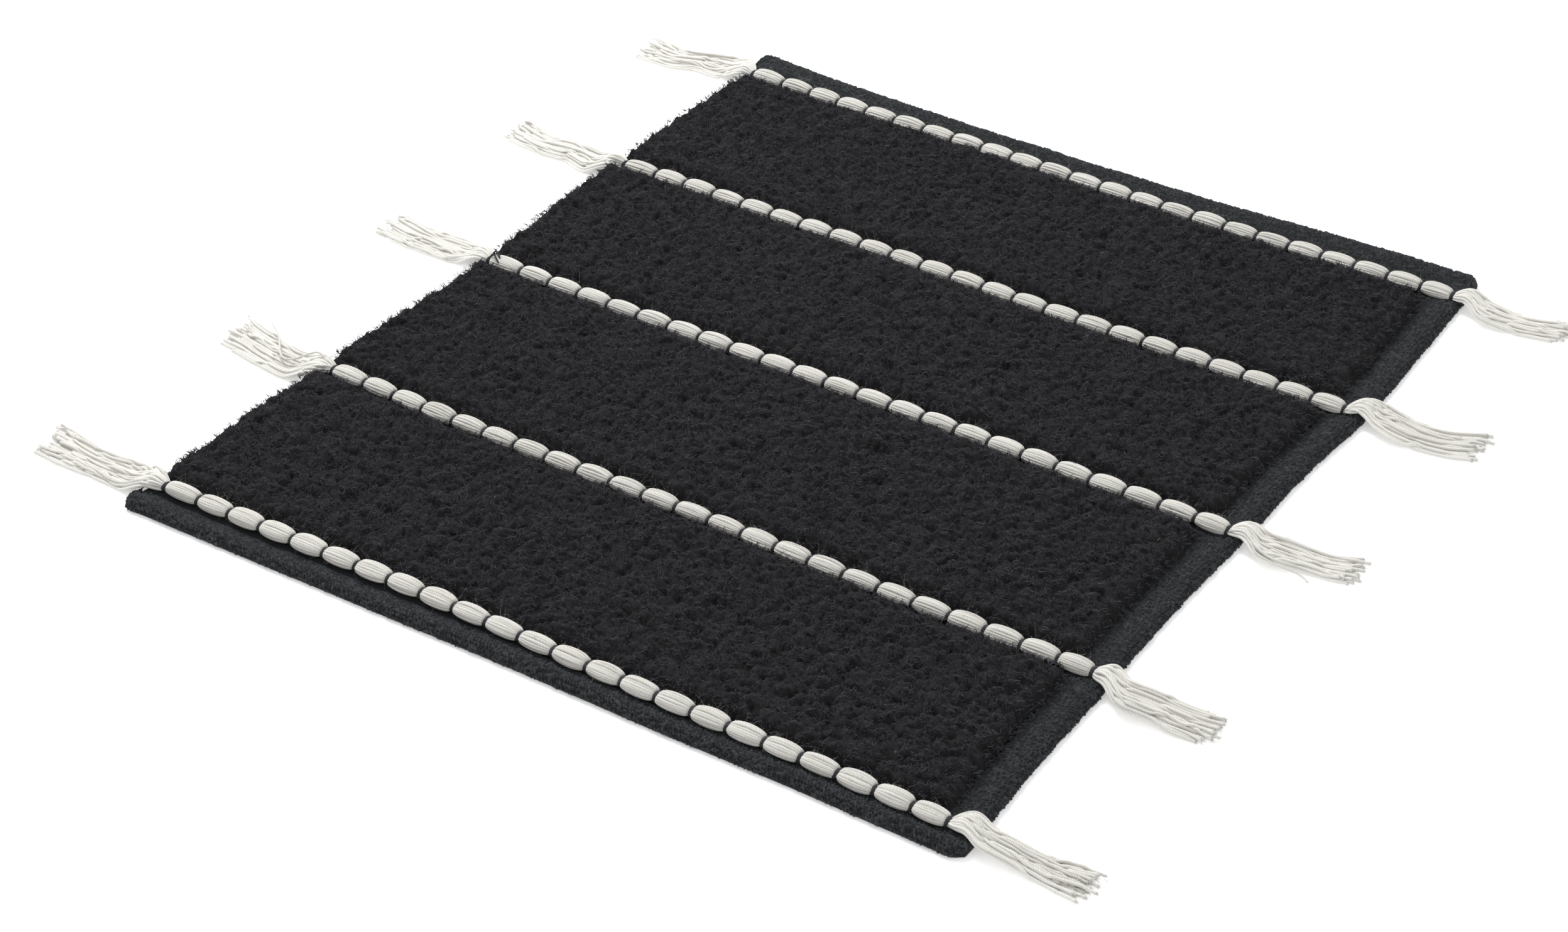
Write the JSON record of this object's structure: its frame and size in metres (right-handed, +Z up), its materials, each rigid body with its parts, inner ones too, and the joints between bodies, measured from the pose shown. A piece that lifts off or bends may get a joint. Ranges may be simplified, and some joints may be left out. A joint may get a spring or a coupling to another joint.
{
  "type": "bath mat",
  "caption": "Woven cotton bath mat with deep pile panels, rows of roving tied into puffs, hemmed edges and a swinging tassel at each end of every row.",
  "frame": {"origin": "middle of the mat, on the plane that it lies on", "axes": "+X along the rows, over both sets of tassels, +Y along the mat from its front hem to its back hem, +Z up out of the pile"},
  "size_m": [0.66, 0.6, 0.0147],
  "materials": {
    "black_cloth": "flat-woven black cotton, matt, faintly heathered",
    "black_pile": "deep cut cotton pile, soft blue-black with fine lighter fibres",
    "black_hem": "thick turned cotton hem, felted short ridges, heathered grey-black",
    "black_yarn": "smooth twisted black cotton yarn",
    "white_yarn": "undyed cream-white cotton yarn in a loose bundle, plied twist, fuzzy"
  },
  "bodies": {
    "mat": {"ground_cloth": "black_cloth", "pile_panel_1": "black_pile", "pile_panel_2": "black_pile", "pile_panel_3": "black_pile", "pile_panel_4": "black_pile", "roving_1": "white_yarn", "roving_2": "white_yarn", "roving_3": "white_yarn", "roving_4": "white_yarn", "roving_5": "white_yarn", "tie_yarn_1": "black_yarn", "tie_yarn_2": "black_yarn", "tie_yarn_3": "black_yarn", "tie_yarn_4": "black_yarn", "tie_yarn_5": "black_yarn", "end_hem_front": "black_hem", "end_hem_back": "black_hem", "side_hem_left": "black_hem", "side_hem_right": "black_hem", "hem_thread_front": "black_yarn", "hem_thread_back": "black_yarn", "hem_thread_left": "black_yarn", "hem_thread_right": "black_yarn"},
    "tassel_left_1": {"tassel_left_1": "white_yarn"},
    "tassel_left_2": {"tassel_left_2": "white_yarn"},
    "tassel_left_3": {"tassel_left_3": "white_yarn"},
    "tassel_left_4": {"tassel_left_4": "white_yarn"},
    "tassel_left_5": {"tassel_left_5": "white_yarn"},
    "tassel_right_1": {"tassel_right_1": "white_yarn"},
    "tassel_right_2": {"tassel_right_2": "white_yarn"},
    "tassel_right_3": {"tassel_right_3": "white_yarn"},
    "tassel_right_4": {"tassel_right_4": "white_yarn"},
    "tassel_right_5": {"tassel_right_5": "white_yarn"}
  },
  "joints": [
    {"name": "tassel_left_1_swing", "type": "hinge", "parent": "mat", "child": "tassel_left_1", "pos_m": [-0.2535, -0.2785, 0.0083], "axis": [0, 1, 0], "range_deg": [-85, 120]},
    {"name": "tassel_left_2_swing", "type": "hinge", "parent": "mat", "child": "tassel_left_2", "pos_m": [-0.2535, -0.14025, 0.0083], "axis": [0, 1, 0], "range_deg": [-85, 120]},
    {"name": "tassel_left_3_swing", "type": "hinge", "parent": "mat", "child": "tassel_left_3", "pos_m": [-0.2535, -0.002, 0.0083], "axis": [0, 1, 0], "range_deg": [-85, 120]},
    {"name": "tassel_left_4_swing", "type": "hinge", "parent": "mat", "child": "tassel_left_4", "pos_m": [-0.2535, 0.13625, 0.0083], "axis": [0, 1, 0], "range_deg": [-85, 120]},
    {"name": "tassel_left_5_swing", "type": "hinge", "parent": "mat", "child": "tassel_left_5", "pos_m": [-0.2535, 0.2745, 0.0083], "axis": [0, 1, 0], "range_deg": [-85, 120]},
    {"name": "tassel_right_1_swing", "type": "hinge", "parent": "mat", "child": "tassel_right_1", "pos_m": [0.2535, -0.2785, 0.0083], "axis": [0, -1, 0], "range_deg": [-85, 120]},
    {"name": "tassel_right_2_swing", "type": "hinge", "parent": "mat", "child": "tassel_right_2", "pos_m": [0.2535, -0.14025, 0.0083], "axis": [0, -1, 0], "range_deg": [-85, 120]},
    {"name": "tassel_right_3_swing", "type": "hinge", "parent": "mat", "child": "tassel_right_3", "pos_m": [0.2535, -0.002, 0.0083], "axis": [0, -1, 0], "range_deg": [-85, 120]},
    {"name": "tassel_right_4_swing", "type": "hinge", "parent": "mat", "child": "tassel_right_4", "pos_m": [0.2535, 0.13625, 0.0083], "axis": [0, -1, 0], "range_deg": [-85, 120]},
    {"name": "tassel_right_5_swing", "type": "hinge", "parent": "mat", "child": "tassel_right_5", "pos_m": [0.2535, 0.2745, 0.0083], "axis": [0, -1, 0], "range_deg": [-85, 120]}
  ]
}
